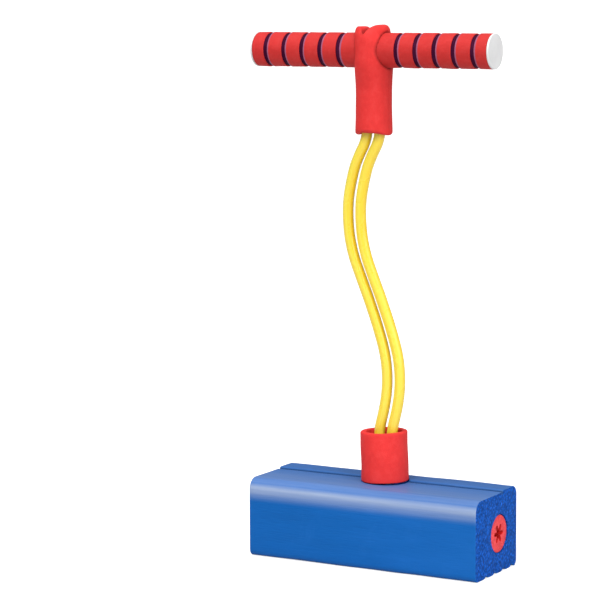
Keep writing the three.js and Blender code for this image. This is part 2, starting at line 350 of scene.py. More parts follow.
def turn_about_z(bm, outline, segments):
    """Spins a closed section of radius and height all the way round Z."""
    verts, edges = loop_of(bm, [(radius, 0.0, height) for radius, height in outline])
    bmesh.ops.spin(
        bm, geom=verts + edges, cent=(0, 0, 0), axis=(0, 0, 1), dvec=(0, 0, 0),
        angle=FULL_TURN, steps=segments, use_merge=True, use_duplicate=False,
    )
    bmesh.ops.remove_doubles(bm, verts=bm.verts, dist=1e-6)
    bmesh.ops.recalc_face_normals(bm, faces=bm.faces)


def wander(bm, size, amount, keep=(1.0, 1.0, 1.0)):
    """Moves the vertices a little along their normals, as hand-cut foam is never quite even."""
    bm.normal_update()
    for v in bm.verts:
        push = v.normal * (noise.noise(v.co / size) * amount)
        v.co += Vector((push.x * keep[0], push.y * keep[1], push.z * keep[2]))


def lay_along_bar(bm, sign=1):
    """Turns a piece that stands on Z to run along the handle bar, to its right or left."""
    turn = Matrix.Rotation(sign * math.pi / 2, 4, "Y")
    bmesh.ops.transform(bm, matrix=Matrix.Translation(BAR_CENTRE) @ turn, verts=bm.verts)


def cut_with(obj, cutter):
    """Takes one object's shape out of another and removes the cutter."""
    cut = obj.modifiers.new("Cut", "BOOLEAN")
    cut.operation = "DIFFERENCE"
    cut.solver = "MANIFOLD"
    cut.object = cutter
    settle(obj)
    mesh = cutter.data
    bpy.data.objects.remove(cutter)
    bpy.data.meshes.remove(mesh)


def settle(obj):
    """Makes an object's modifiers part of its mesh."""
    bpy.context.view_layer.update()
    graph = bpy.context.evaluated_depsgraph_get()
    finished = bpy.data.meshes.new_from_object(obj.evaluated_get(graph))
    old = obj.data
    obj.modifiers.clear()
    obj.data = finished
    finished.name = obj.name
    if old.users == 0:
        bpy.data.meshes.remove(old)


def new_object(name, bm, materials=()):
    """An object with the bmesh's shape, at the origin."""
    mesh = bpy.data.meshes.new(name)
    bm.to_mesh(mesh)
    bm.free()
    for material in materials:
        mesh.materials.append(material)
    obj = bpy.data.objects.new(name, mesh)
    bpy.context.scene.collection.objects.link(obj)
    return obj


def soften(obj, angle=40.0):
    """Smooth shading that keeps edges sharper than an angle."""
    obj.data.polygons.foreach_set("use_smooth", [True] * len(obj.data.polygons))
    obj.data.set_sharp_from_angle(angle=math.radians(angle))


# ------------------------------------------------------------------ finishes


def add_node(tree, kind, place, **values):
    """A node with its properties, or the inputs of that name, set."""
    made = tree.nodes.new(kind)
    made.location = place
    for name, value in values.items():
        label = name.replace("_", " ").title()
        if hasattr(made, name):
            setattr(made, name, value)
        else:
            made.inputs[label].default_value = value
    return made


def rgba(value, strength=1.0):
    """A colour with alpha, lighter or darker by strength."""
    return tuple(min(1.0, c * strength) for c in value) + (1.0,)


def mixed(tree, place, factor, first, second, mode="MIX"):
    """A colour mix node joined to sockets or given plain values."""
    mix = tree.nodes.new("ShaderNodeMix")
    mix.location = place
    mix.data_type = "RGBA"
    mix.blend_type = mode
    for socket, value in ((mix.inputs[0], factor), (mix.inputs[6], first), (mix.inputs[7], second)):
        if isinstance(value, bpy.types.NodeSocket):
            tree.links.new(value, socket)
        else:
            socket.default_value = value
    return mix.outputs[2]


def maths(tree, place, operation, first, second=0.0):
    """A maths node joined to sockets or given plain values."""
    made = tree.nodes.new("ShaderNodeMath")
    made.location = place
    made.operation = operation
    for socket, value in ((made.inputs[0], first), (made.inputs[1], second)):
        if isinstance(value, bpy.types.NodeSocket):
            tree.links.new(value, socket)
        else:
            socket.default_value = value
    return made.outputs[0]


def ranged(tree, place, value, low, high, new_low, new_high):
    """A value brought from one range to another and held inside it."""
    made = tree.nodes.new("ShaderNodeMapRange")
    made.location = place
    made.clamp = True
    tree.links.new(value, made.inputs["Value"])
    for name, number in (("From Min", low), ("From Max", high), ("To Min", new_low), ("To Max", new_high)):
        made.inputs[name].default_value = number
    return made.outputs["Result"]


def new_group(name, inputs, outputs):
    """An empty shader group with named sockets, its input node and its output node."""
    group = bpy.data.node_groups.new(name, "ShaderNodeTree")
    for socket_name, kind, default in inputs:
        socket = group.interface.new_socket(socket_name, in_out="INPUT", socket_type=kind)
        if default is not None:
            socket.default_value = default
    for socket_name, kind in outputs:
        group.interface.new_socket(socket_name, in_out="OUTPUT", socket_type=kind)
    entry = add_node(group, "NodeGroupInput", (-1000, 0))
    leave = add_node(group, "NodeGroupOutput", (800, 0))
    return group, entry, leave


def foam_cells_group():
    """Closed-cell foam: pale and deep mottling, tiny cells, and the height that they stand at."""
    known = bpy.data.node_groups.get("Foam cells")
    if known:
        return known
    group, entry, leave = new_group(
        "Foam cells",
        [
            ("Place", "NodeSocketVector", None),
            ("Colour", "NodeSocketColor", (0.5, 0.5, 0.5, 1.0)),
            ("Pale", "NodeSocketColor", (0.8, 0.8, 0.8, 1.0)),
            ("Deep", "NodeSocketColor", (0.2, 0.2, 0.2, 1.0)),
            ("Cells per metre", "NodeSocketFloat", 700.0),
            ("Mottles per metre", "NodeSocketFloat", 40.0),
            ("Mottling", "NodeSocketFloat", 0.4),
            ("Cell shade", "NodeSocketFloat", 0.3),
        ],
        [
            ("Colour", "NodeSocketColor"),
            ("Roughness", "NodeSocketFloat"),
            ("Height", "NodeSocketFloat"),
        ],
    )
    join = group.links.new
    mottle = add_node(group, "ShaderNodeTexNoise", (-700, 300), detail=4.0, roughness=0.6)
    join(entry.outputs["Place"], mottle.inputs["Vector"])
    join(entry.outputs["Mottles per metre"], mottle.inputs["Scale"])
    pale = ranged(group, (-450, 380), mottle.outputs["Fac"], 0.48, 0.72, 0.0, 1.0)
    deep = ranged(group, (-450, 120), mottle.outputs["Fac"], 0.28, 0.50, 1.0, 0.0)
    pale = maths(group, (-250, 380), "MULTIPLY", pale, entry.outputs["Mottling"])
    deep = maths(group, (-250, 120), "MULTIPLY", deep, entry.outputs["Mottling"])
    lightened = mixed(group, (-50, 300), pale, entry.outputs["Colour"], entry.outputs["Pale"])
    darkened = mixed(group, (150, 250), deep, lightened, entry.outputs["Deep"])

    cells = add_node(group, "ShaderNodeTexVoronoi", (-700, -150), feature="F1")
    join(entry.outputs["Place"], cells.inputs["Vector"])
    join(entry.outputs["Cells per metre"], cells.inputs["Scale"])
    fine_scale = maths(group, (-900, -450), "MULTIPLY", entry.outputs["Cells per metre"], 1.9)
    fine = add_node(group, "ShaderNodeTexNoise", (-700, -450), detail=2.0)
    join(entry.outputs["Place"], fine.inputs["Vector"])
    join(fine_scale, fine.inputs["Scale"])
    hollow = ranged(group, (-450, -150), cells.outputs["Distance"], 0.05, 0.65, 1.0, 0.0)
    shade = maths(group, (-250, -100), "MULTIPLY", hollow, entry.outputs["Cell shade"])
    celled = mixed(group, (350, 200), shade, darkened, entry.outputs["Deep"])
    join(celled, leave.inputs["Colour"])

    rise = maths(group, (-250, -250), "SUBTRACT", 1.0, hollow)
    fine_rise = maths(group, (-250, -450), "MULTIPLY", fine.outputs["Fac"], 0.5)
    height = maths(group, (0, -300), "ADD", rise, fine_rise)
    join(height, leave.inputs["Height"])
    rough = ranged(group, (150, -100), mottle.outputs["Fac"], 0.3, 0.7, 0.0, 1.0)
    join(rough, leave.inputs["Roughness"])
    return group


def scuffs_group():
    """Handling marks: pale rubbed patches with soft edges, as a colour and a mask."""
    known = bpy.data.node_groups.get("Scuffs")
    if known:
        return known
    group, entry, leave = new_group(
        "Scuffs",
        [
            ("Place", "NodeSocketVector", None),
            ("Colour", "NodeSocketColor", (0.5, 0.5, 0.5, 1.0)),
            ("Rubbed", "NodeSocketColor", (0.8, 0.8, 0.8, 1.0)),
            ("Marks per metre", "NodeSocketFloat", 25.0),
            ("Amount", "NodeSocketFloat", 0.3),
        ],
        [("Colour", "NodeSocketColor"), ("Mask", "NodeSocketFloat")],
    )
    join = group.links.new
    patches = add_node(
        group, "ShaderNodeTexNoise", (-700, 200), detail=6.0, roughness=0.7, distortion=0.6,
    )
    join(entry.outputs["Place"], patches.inputs["Vector"])
    join(entry.outputs["Marks per metre"], patches.inputs["Scale"])
    mask = ranged(group, (-400, 200), patches.outputs["Fac"], 0.56, 0.74, 0.0, 1.0)
    mask = maths(group, (-200, 200), "MULTIPLY", mask, entry.outputs["Amount"])
    rubbed = mixed(group, (100, 100), mask, entry.outputs["Colour"], entry.outputs["Rubbed"])
    join(rubbed, leave.inputs["Colour"])
    join(mask, leave.inputs["Mask"])
    return group


def new_material(name):
    """An empty material with a Principled shader and its output."""
    material = bpy.data.materials.new(name)
    material.use_nodes = True
    tree = material.node_tree
    tree.nodes.clear()
    shader = add_node(tree, "ShaderNodeBsdfPrincipled", (500, 0))
    output = add_node(tree, "ShaderNodeOutputMaterial", (850, 0))
    tree.links.new(shader.outputs["BSDF"], output.inputs["Surface"])
    return material, tree, shader


def place_in(tree, stretch=(1.0, 1.0, 1.0)):
    """Object coordinates, stretched along an axis."""
    where = add_node(tree, "ShaderNodeTexCoord", (-1100, 0))
    mapping = add_node(tree, "ShaderNodeMapping", (-900, 0))
    mapping.inputs["Scale"].default_value = stretch
    tree.links.new(where.outputs["Object"], mapping.inputs["Vector"])
    return mapping.outputs["Vector"]


def foam_finish(name, base, pale, deep, cells, mottles, mottling, cell_shade, bump,
                rough=(0.55, 0.75), stretch=(1.0, 1.0, 1.0), rubbed=None, scuffing=0.0,
                sheen=0.0, specular=0.5):
    """A foam material from the shared cell and scuff groups."""
    known = bpy.data.materials.get(name)
    if known:
        return known
    material, tree, shader = new_material(name)
    join = tree.links.new
    place = place_in(tree)
    drawn = place_in(tree, stretch)
    foam = add_node(tree, "ShaderNodeGroup", (-550, 150))
    foam.node_tree = foam_cells_group()
    join(drawn, foam.inputs["Place"])
    settings = {
        "Colour": rgba(base), "Pale": rgba(pale), "Deep": rgba(deep), "Cells per metre": cells,
        "Mottles per metre": mottles, "Mottling": mottling, "Cell shade": cell_shade,
    }
    for socket, value in settings.items():
        foam.inputs[socket].default_value = value
    marks = add_node(tree, "ShaderNodeGroup", (-250, 150))
    marks.node_tree = scuffs_group()
    join(place, marks.inputs["Place"])
    join(foam.outputs["Colour"], marks.inputs["Colour"])
    marks.inputs["Rubbed"].default_value = rgba(rubbed or pale)
    marks.inputs["Amount"].default_value = scuffing
    join(marks.outputs["Colour"], shader.inputs["Base Color"])
    join(ranged(tree, (150, -50), foam.outputs["Roughness"], 0.0, 1.0, *rough), shader.inputs["Roughness"])
    relief = add_node(tree, "ShaderNodeBump", (150, -300), strength=1.0, distance=bump)
    join(foam.outputs["Height"], relief.inputs["Height"])
    join(relief.outputs["Normal"], shader.inputs["Normal"])
    shader.inputs["Sheen Weight"].default_value = sheen
    shader.inputs["Sheen Roughness"].default_value = 0.5
    shader.inputs["Specular IOR Level"].default_value = specular
    return material


def ridge(tree, place, value, start, peak, end):
    """0 below start, rising softly to 1 at peak and falling softly back to 0 at end."""
    rise = ranged(tree, place, value, start, peak, 0.0, 1.0)
    fall = ranged(tree, (place[0], place[1] - 260), value, peak, end, 1.0, 0.0)
    for result in (rise, fall):
        result.node.interpolation_type = "SMOOTHSTEP"
    return maths(tree, (place[0] + 200, place[1]), "MULTIPLY", rise, fall)


def blue_skin():
    """The block's moulded skin: drawn out along its length, with pale rub marks, a painted highlight along
    its top front edge, a painted pale reflection over its top and painted shade in the seam.
    """
    known = bpy.data.materials.get("Blue foam skin")
    if known:
        return known
    colours = bpy.context.scene.pogo_colours
    tint = colours.blue
    material = foam_finish(
        "Blue foam skin", tint, [0.006 + c * 1.22 for c in tint], [c * 0.80 for c in tint],
        cells=520.0, mottles=24.0, mottling=0.55, cell_shade=0.08, bump=0.00010,
        rough=(0.38, 0.48), stretch=(0.14, 1.0, 1.0), rubbed=[0.012 + c * 1.25 for c in tint],
        scuffing=0.25, specular=0.15,
    )
    tree = material.node_tree
    join = tree.links.new
    shader = next(node for node in tree.nodes if node.type == "BSDF_PRINCIPLED")
    skin = shader.inputs["Base Color"].links[0].from_socket
    split = add_node(tree, "ShaderNodeSeparateXYZ", (-700, 800))
    join(place_in(tree), split.inputs["Vector"])
    # Y + Z grows steadily from the front face, round the top front edge and back over the top.
    around = maths(tree, (-500, 800), "ADD", split.outputs["Y"], split.outputs["Z"])
    streaks = add_node(tree, "ShaderNodeTexNoise", (-500, 1100), scale=260.0, detail=4.0)
    join(place_in(tree, (0.03, 1.0, 1.0)), streaks.inputs["Vector"])
    streaky = ranged(tree, (-300, 1100), streaks.outputs["Fac"], 0.25, 0.75, 0.72, 1.18)
    # Painted highlight along the top front rounding and, behind it, a painted pale reflection over the top,
    # both streaked along the length and kept to the upper part.
    edge = ridge(tree, (-300, 800), around, 0.001, 0.0165, 0.028)
    edge = maths(tree, (100, 800), "MULTIPLY", edge, streaky)
    edge = maths(tree, (200, 900), "MULTIPLY", edge, 0.55)
    join_top = ranged(tree, (-300, 500), around, 0.017, 0.026, 0.0, 1.0)
    fade_top = ranged(tree, (-300, 300), around, 0.052, 0.090, 0.20, 0.08)
    top = maths(tree, (0, 500), "MULTIPLY", join_top, fade_top)
    top = maths(tree, (100, 500), "MULTIPLY", top, streaky)
    bloom = maths(tree, (300, 700), "MAXIMUM", edge, top)
    upper_part = ranged(tree, (0, 200), split.outputs["Z"], 0.044, 0.054, 0.0, 1.0)
    bloom = maths(tree, (400, 800), "MULTIPLY", bloom, upper_part)
    with_highlight = mixed(tree, (450, 400), bloom, skin, rgba(colours.bloom))
    block = bpy.context.scene.pogo_block
    seam = block.seam_place + BLOCK_HIGH.z - block.back_step
    # Painted shade in the seam's groove along the top.
    seam_shade_mask = ridge(tree, (300, 1200), around, seam - 0.0042, seam, seam + 0.0036)
    on_top = ranged(tree, (400, 1000), split.outputs["Z"], 0.072, 0.077, 0.0, 0.70)
    seam_shade_mask = maths(tree, (600, 900), "MULTIPLY", seam_shade_mask, on_top)
    with_seam_shade = mixed(tree, (650, 400), seam_shade_mask, with_highlight, rgba([c * 0.22 for c in tint]))
    join(with_seam_shade, shader.inputs["Base Color"])
    return material


def blue_cut():
    """The block's cut ends, where the open cells sparkle."""
    tint = bpy.context.scene.pogo_colours.blue_cut
    return foam_finish(
        "Blue foam cut", tint, [0.020 + c * 2.0 for c in tint], [c * 0.42 for c in tint],
        cells=360.0, mottles=340.0, mottling=1.0, cell_shade=0.60, bump=0.0006,
        rough=(0.6, 0.8), specular=0.1,
    )


def red_foam(name="Red foam", strength=1.0):
    """The soft red foam of the collar, sleeve and bands."""
    tint = [c * strength for c in bpy.context.scene.pogo_colours.red]
    return foam_finish(
        name, tint, [0.035 + c * 1.05 for c in tint], [c * 0.80 for c in tint],
        cells=1100.0, mottles=150.0, mottling=0.30, cell_shade=0.18, bump=0.00014,
        rough=(0.58, 0.72), scuffing=0.08, specular=0.2,
    )


def grip_foam():
    """The bands' red foam, at 0.70 of the red's strength."""
    return red_foam("Red grip foam", 0.70)


def sleeve_foam():
    """The sleeve's red foam, with a painted contact shadow where it meets the bar and painted shade in the
    crease over it.
    """
    known = bpy.data.materials.get("Red sleeve foam")
    if known:
        return known
    material = red_foam("Red sleeve foam", 0.90)
    tree = material.node_tree
    shader = next(node for node in tree.nodes if node.type == "BSDF_PRINCIPLED")
    foam = shader.inputs["Base Color"].links[0].from_socket
    split = add_node(tree, "ShaderNodeSeparateXYZ", (-700, 800))
    tree.links.new(place_in(tree), split.inputs["Vector"])
    # Painted contact shadow: a ring round the bar where the sleeve meets it.
    over = maths(tree, (-500, 700), "SUBTRACT", split.outputs["Z"], BAR_CENTRE.z)
    squared = maths(tree, (-350, 700), "POWER", over, 2.0)
    across = maths(tree, (-350, 900), "POWER", split.outputs["Y"], 2.0)
    from_axis = maths(tree, (-50, 800), "POWER", maths(tree, (-200, 800), "ADD", squared, across), 0.5)
    ring = ranged(tree, (100, 800), from_axis, GRIP_RADIUS + 0.0002, GRIP_RADIUS + 0.0032, 0.8, 0.0)
    # Painted shade along the crease between the lobes, high over the bar.
    line = BAR_CENTRE.x + bpy.context.scene.pogo_sleeve.crease_place
    slant = maths(tree, (-300, 1300), "MULTIPLY", split.outputs["Y"], CREASE_SLANT)
    along = maths(tree, (-100, 1300), "ADD", split.outputs["X"], slant)
    fold = ridge(tree, (100, 1200), along, line - 0.0040, line - 0.0004, line + 0.0026)
    high = ranged(tree, (100, 1500), over, 0.0145, 0.0185, 0.0, 0.75)
    crease = maths(tree, (400, 1200), "MULTIPLY", fold, high)
    # Painted contact shadow and crease shade, mixed in as a deep red.
    dark = maths(tree, (500, 900), "MAXIMUM", ring, crease)
    darker = mixed(tree, (650, 500), dark, foam, rgba(bpy.context.scene.pogo_colours.red, 0.26))
    tree.links.new(darker, shader.inputs["Base Color"])
    return material


def pink_foam():
    """The coarse foam of the end plugs."""
    tint = bpy.context.scene.pogo_colours.pink
    return foam_finish(
        "Pink plug foam", tint, [0.05 + c * 1.1 for c in tint], [c * 0.6 for c in tint],
        cells=800.0, mottles=180.0, mottling=0.5, cell_shade=0.35, bump=0.0004,
        rough=(0.6, 0.8), specular=0.2,
    )


def star_foam():
    """The dark inside of a plug's star hole."""
    tint = bpy.context.scene.pogo_colours.star
    return foam_finish(
        "Star hole foam", tint, [c * 1.4 for c in tint], [c * 0.4 for c in tint],
        cells=800.0, mottles=180.0, mottling=0.5, cell_shade=0.4, bump=0.0004, rough=(0.7, 0.85),
    )


def navy_foam():
    """The dark foam between the bands."""
    tint = bpy.context.scene.pogo_colours.navy
    return foam_finish(
        "Navy foam", tint, [0.01 + c * 1.5 for c in tint], [c * 0.5 for c in tint],
        cells=1100.0, mottles=80.0, mottling=0.5, cell_shade=0.3, bump=0.0002,
        rough=(0.65, 0.8), specular=0.08,
    )


def mauve_foam():
    """A mauve tint on the rounded left end of a band."""
    tint = bpy.context.scene.pogo_colours.mauve
    return foam_finish(
        "Mauve band edge", tint, [0.04 + c * 1.2 for c in tint], [c * 0.7 for c in tint],
        cells=1100.0, mottles=120.0, mottling=0.5, cell_shade=0.2, bump=0.0002, rough=(0.6, 0.75),
    )


def yellow_latex():
    """The cords' latex: glossy, a little see-through, with faint streaks along it."""
    known = bpy.data.materials.get("Yellow latex")
    if known:
        return known
    tint = bpy.context.scene.pogo_colours.latex
    material, tree, shader = new_material("Yellow latex")
    join = tree.links.new
    laid = add_node(tree, "ShaderNodeAttribute", (-1100, 0), attribute_name="laid_out")
    drawn = add_node(tree, "ShaderNodeMapping", (-900, 0))
    drawn.inputs["Scale"].default_value = (1.0, 1.0, 0.02)
    join(laid.outputs["Vector"], drawn.inputs["Vector"])
    streaks = add_node(tree, "ShaderNodeTexNoise", (-650, 200), scale=230.0, detail=3.0)
    join(drawn.outputs["Vector"], streaks.inputs["Vector"])
    clouds = add_node(tree, "ShaderNodeTexNoise", (-650, -100), scale=45.0, detail=3.0)
    join(laid.outputs["Vector"], clouds.inputs["Vector"])
    streak = ranged(tree, (-400, 200), streaks.outputs["Fac"], 0.38, 0.62, 0.0, 1.0)
    cloud = ranged(tree, (-400, -100), clouds.outputs["Fac"], 0.4, 0.75, 0.0, 0.3)
    golden = rgba([c * f for c, f in zip(tint, (1.0, 0.88, 0.50))])
    lemon = rgba([c * f for c, f in zip(tint, (1.0, 1.05, 2.0))])
    paler = mixed(tree, (-100, 200), streak, golden, lemon)
    toned = mixed(tree, (100, 150), cloud, paler, rgba([c * f for c, f in zip(tint, (0.97, 0.93, 0.8))]))
    join(toned, shader.inputs["Base Color"])
    join(ranged(tree, (100, -100), clouds.outputs["Fac"], 0.3, 0.7, 0.22, 0.34), shader.inputs["Roughness"])
    relief = add_node(tree, "ShaderNodeBump", (150, -350), strength=0.5, distance=0.0001)
    join(streaks.outputs["Fac"], relief.inputs["Height"])
    join(relief.outputs["Normal"], shader.inputs["Normal"])
    shader.inputs["Subsurface Weight"].default_value = 0.12
    shader.inputs["Subsurface Radius"].default_value = (1.0, 0.9, 0.3)
    shader.inputs["Subsurface Scale"].default_value = 0.004
    shader.inputs["Coat Weight"].default_value = 0.5
    shader.inputs["Coat Roughness"].default_value = 0.18
    return material


def moulded_plastic(name, tint, rough, rubbed):
    """Satin moulded plastic with a fine grain and light rub marks."""
    known = bpy.data.materials.get(name)
    if known:
        return known
    material, tree, shader = new_material(name)
    join = tree.links.new
    place = place_in(tree)
    grain = add_node(tree, "ShaderNodeTexNoise", (-650, -150), scale=1800.0, detail=2.0)
    join(place, grain.inputs["Vector"])
    clouds = add_node(tree, "ShaderNodeTexNoise", (-650, 150), scale=70.0, detail=4.0)
    join(place, clouds.inputs["Vector"])
    toned = mixed(
        tree, (-350, 150), ranged(tree, (-450, 300), clouds.outputs["Fac"], 0.4, 0.7, 0.0, 1.0),
        rgba(tint), rgba(tint, 0.93),
    )
    marks = add_node(tree, "ShaderNodeGroup", (-100, 150))
    marks.node_tree = scuffs_group()
    join(place, marks.inputs["Place"])
    join(toned, marks.inputs["Colour"])
    marks.inputs["Rubbed"].default_value = rgba(rubbed)
    marks.inputs["Marks per metre"].default_value = 120.0
    marks.inputs["Amount"].default_value = 0.35
    join(marks.outputs["Colour"], shader.inputs["Base Color"])
    rubbed_rough = maths(tree, (100, -50), "MULTIPLY", marks.outputs["Mask"], 0.35)
    join(maths(tree, (300, -50), "ADD", rubbed_rough, rough), shader.inputs["Roughness"])
    relief = add_node(tree, "ShaderNodeBump", (150, -300), strength=0.6, distance=0.00004)
    join(grain.outputs["Fac"], relief.inputs["Height"])
    join(relief.outputs["Normal"], shader.inputs["Normal"])
    return material


def white_plastic():
    """The end caps' plastic."""
    return moulded_plastic("White plastic", bpy.context.scene.pogo_colours.white, 0.36, (0.70, 0.70, 0.71))


def grey_plastic():
    """The plastic of the pipes and stoppers inside."""
    return moulded_plastic("Grey plastic", bpy.context.scene.pogo_colours.grey, 0.45, (0.62, 0.62, 0.64))


# ------------------------------------------------------------------ pieces


def hand_over(obj, body, slot, *nodes):
    """Names the body that a piece rides on and hides the CAD nodes it stands for; its material slot is not
    used.
    """
    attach(obj, body)
    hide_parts(*nodes)


def block_outline(sizes):
    """The block's section across its length as Y and Z, anticlockwise from the bottom front."""
    front, back = BLOCK_LOW.y, BLOCK_HIGH.y
    back_height = BLOCK_HIGH.z
    height = back_height - sizes.back_step
    foot = sizes.front_foot
    points = arc((front + foot, foot), foot, 180, 270, 8)
    half = sizes.tread_pitch / 2
    for i in range(-2, 2):
        middle = (i + 0.5) * sizes.tread_pitch
        for k in range(-8, 9):
            reach = 1 - abs(k) / 8
            points.append((middle + k / 8 * half * 0.8, sizes.tread_depth * reach ** 2.6))
    foot = sizes.back_foot
    points += arc((back - foot, foot), foot, 270, 360, 6)
    radius = sizes.back_rounding
    points += arc((back - radius, back_height - radius), radius, 0, 90, 10)
    half = sizes.seam_width / 2
    seam = sizes.seam_place
    points += [
        (seam + half + 0.0012, back_height),
        (seam + half + 0.0003, back_height - 0.0004),
        (seam + half * 0.5, back_height - 0.0016),
        (seam + half * 0.15, height - sizes.seam_depth),
        (seam - half * 0.15, height - sizes.seam_depth),
        (seam - half * 0.6, height - 0.0010),
        (seam - half - 0.0004, height - 0.0002),
        (seam - half - 0.0014, height),
    ]
    radius = sizes.front_rounding
    points += arc((front + radius, height - radius), radius, 90, 180, 14)
    return with_steps(points, 0.004)


def block_shape(sizes):
    """The block with its core's bore, before the cords' well is cut."""
    bm = bmesh.new()
    outline = block_outline(sizes)
    low, high = BLOCK_LOW.x, BLOCK_HIGH.x
    rounding = [(0.0, 1.0), (0.07, 0.62), (0.30, 0.27), (0.62, 0.07), (1.0, 0.0)]
    depths = [(low + out * sizes.cut_edge, inset * sizes.cut_edge) for out, inset in rounding]
    count = 52
    span = (high - low) - 2 * sizes.cut_edge
    depths += [(low + sizes.cut_edge + span * i / count, 0.0) for i in range(1, count)]
    depths += [(high - out * sizes.cut_edge, inset * sizes.cut_edge) for out, inset in reversed(rounding)]

    def section(x, inset):
        return [Vector((x, y, z)) for y, z in (set_in(outline, inset) if inset else outline)]

    verts, edges = loop_of(bm, section(*depths[0]))
    first_edges = edges
    for x, inset in depths[1:]:
        made = bmesh.ops.extrude_edge_only(bm, edges=edges)["geom"]
        fresh = {g for g in made if isinstance(g, bmesh.types.BMVert)}
        edges = [g for g in made if isinstance(g, bmesh.types.BMEdge) and set(g.verts) <= fresh]
        verts = [
            next(e.other_vert(v) for e in v.link_edges if e.other_vert(v) in fresh) for v in verts
        ]
        for vert, place in zip(verts, section(x, inset)):
            vert.co = place
    last_edges = edges
    for face in bm.faces:
        face.material_index = 0
    skin = set(bm.faces)

    bmesh.ops.recalc_face_normals(bm, faces=bm.faces)
    wander(bm, 0.035, sizes.unevenness, keep=(0.0, 1.0, 1.0))
    for vert in bm.verts:
        vert.co.z = max(BLOCK_LOW.z, vert.co.z)

    bore = PLUG_RADIUS + 0.0003
    turn = Matrix.Rotation(math.pi / 2, 4, "Y")
    ring = bmesh.ops.create_circle(
        bm, cap_ends=False, segments=96, radius=bore,
        matrix=Matrix.Translation((low, 0, CORE_HEIGHT)) @ turn,
    )["verts"]
    ring_edges = edges_of(ring)
    _, far_edges = extrude_loop(bm, ring_edges, Matrix.Translation((high - low, 0, 0)))
    for outer, inner, way in ((first_edges, ring_edges, -1), (last_edges, far_edges, 1)):
        bmesh.ops.triangle_fill(bm, use_beauty=True, edges=outer + inner, normal=(way, 0, 0))
    for face in bm.faces:
        if face not in skin:
            face.material_index = 1
    bmesh.ops.recalc_face_normals(bm, faces=bm.faces)
    return bm


def well_shape(sizes):
    """What is cut out for the cords' well and, wider and above it, the collar's shallow seat."""
    bm = bmesh.new()
    verts = bmesh.ops.create_circle(
        bm, cap_ends=False, segments=96, radius=sizes.well_radius,
        matrix=Matrix.Translation((0, 0, CORE_HEIGHT)),
    )["verts"]
    edges = edges_of(verts)
    seat_floor = BLOCK_HIGH.z - sizes.back_step - sizes.seat_depth
    widening = (COLLAR_RADIUS + sizes.seat_space) / sizes.well_radius
    _, edges = extrude_loop(bm, edges, Matrix.Translation((0, 0, seat_floor - CORE_HEIGHT)))
    _, edges = extrude_loop(bm, edges, Matrix.Diagonal((widening, widening, 1.0, 1.0)))
    extrude_loop(bm, edges, Matrix.Translation((0, 0, 0.02)))
    bmesh.ops.holes_fill(bm, edges=bm.edges)
    bmesh.ops.recalc_face_normals(bm, faces=bm.faces)
    for face in bm.faces:
        face.material_index = 1
    return bm


class POGO_OT_foam_block(Operator):
    """Builds the blue foam block with its seam, treads, bore and the well for the cords"""

    bl_idname = "pogo.foam_block"
    bl_label = "Foam block"

    def execute(self, context):
        sizes = context.scene.pogo_block
        block = new_object("foam_block_skin", block_shape(sizes), (blue_skin(), blue_cut()))
        cut_with(block, new_object("well_cutter", well_shape(sizes), (blue_skin(), blue_cut())))
        soften(block, 35.0)
        hand_over(block, "base", "blue_foam", "foam_block")
        return {"FINISHED"}


def star_outline(sizes):
    """The plug's star hole: six round-ended arms."""
    points = []
    arms = 6
    half = sizes.star_arm
    for i in range(arms):
        turn = FULL_TURN * i / arms + math.pi / 2
        along = Vector((math.cos(turn), math.sin(turn)))
        across = Vector((-math.sin(turn), math.cos(turn)))
        tip = sizes.star_reach - half
        for k in range(7):
            sweep = -math.pi / 2 + math.pi * k / 6
            points.append(along * (tip + half * math.cos(sweep)) + across * (half * math.sin(sweep)))
        waist = turn + FULL_TURN / arms / 2
        points.append(Vector((math.cos(waist), math.sin(waist))) * sizes.star_waist)
    return [(p.x, p.y, 0.0) for p in points]


def plug_shape(sizes):
    """A plug that stands on Z with its star at the high end."""
    bm = bmesh.new()
    long = PLUG_HIGH.x - PLUG_LOW.x
    rim = 0.0012
    outline = arc((0.0, 0.0), PLUG_RADIUS, 0, 360, 96)[:-1]
    _, edges = loop_of(bm, [(x, y, 0.0) for x, y in outline])
    bottom = bmesh.ops.contextual_create(bm, geom=edges)["faces"]
    for height, radius in [(long * 0.5, 0.0), (long - rim, 0.0)] + [
        (long - rim * (1 - math.sin(math.radians(a))), rim * (1 - math.cos(math.radians(a))))
        for a in (30, 60, 90)
    ]:
        current = max(v.co.z for v in bm.verts)
        now = max(Vector((v.co.x, v.co.y)).length for e in edges for v in e.verts)
        scale = (PLUG_RADIUS - radius) / now
        grow = Matrix.Diagonal((scale, scale, 1.0, 1.0))
        _, edges = extrude_loop(bm, edges, Matrix.Translation((0, 0, height - current)) @ grow)
    _, star = loop_of(bm, [(x, y, long) for x, y, _ in star_outline(sizes)])
    bmesh.ops.triangle_fill(bm, use_beauty=True, edges=edges + star, normal=(0, 0, 1))
    before = set(bm.faces)
    _, floor = extrude_loop(bm, star, Matrix.Translation((0, 0, -sizes.star_depth)))
    bmesh.ops.triangle_fill(bm, use_beauty=True, edges=floor, normal=(0, 0, 1))
    for face in bm.faces:
        face.material_index = 0 if face in before else 1
    bmesh.ops.recalc_face_normals(bm, faces=bm.faces)
    return bm


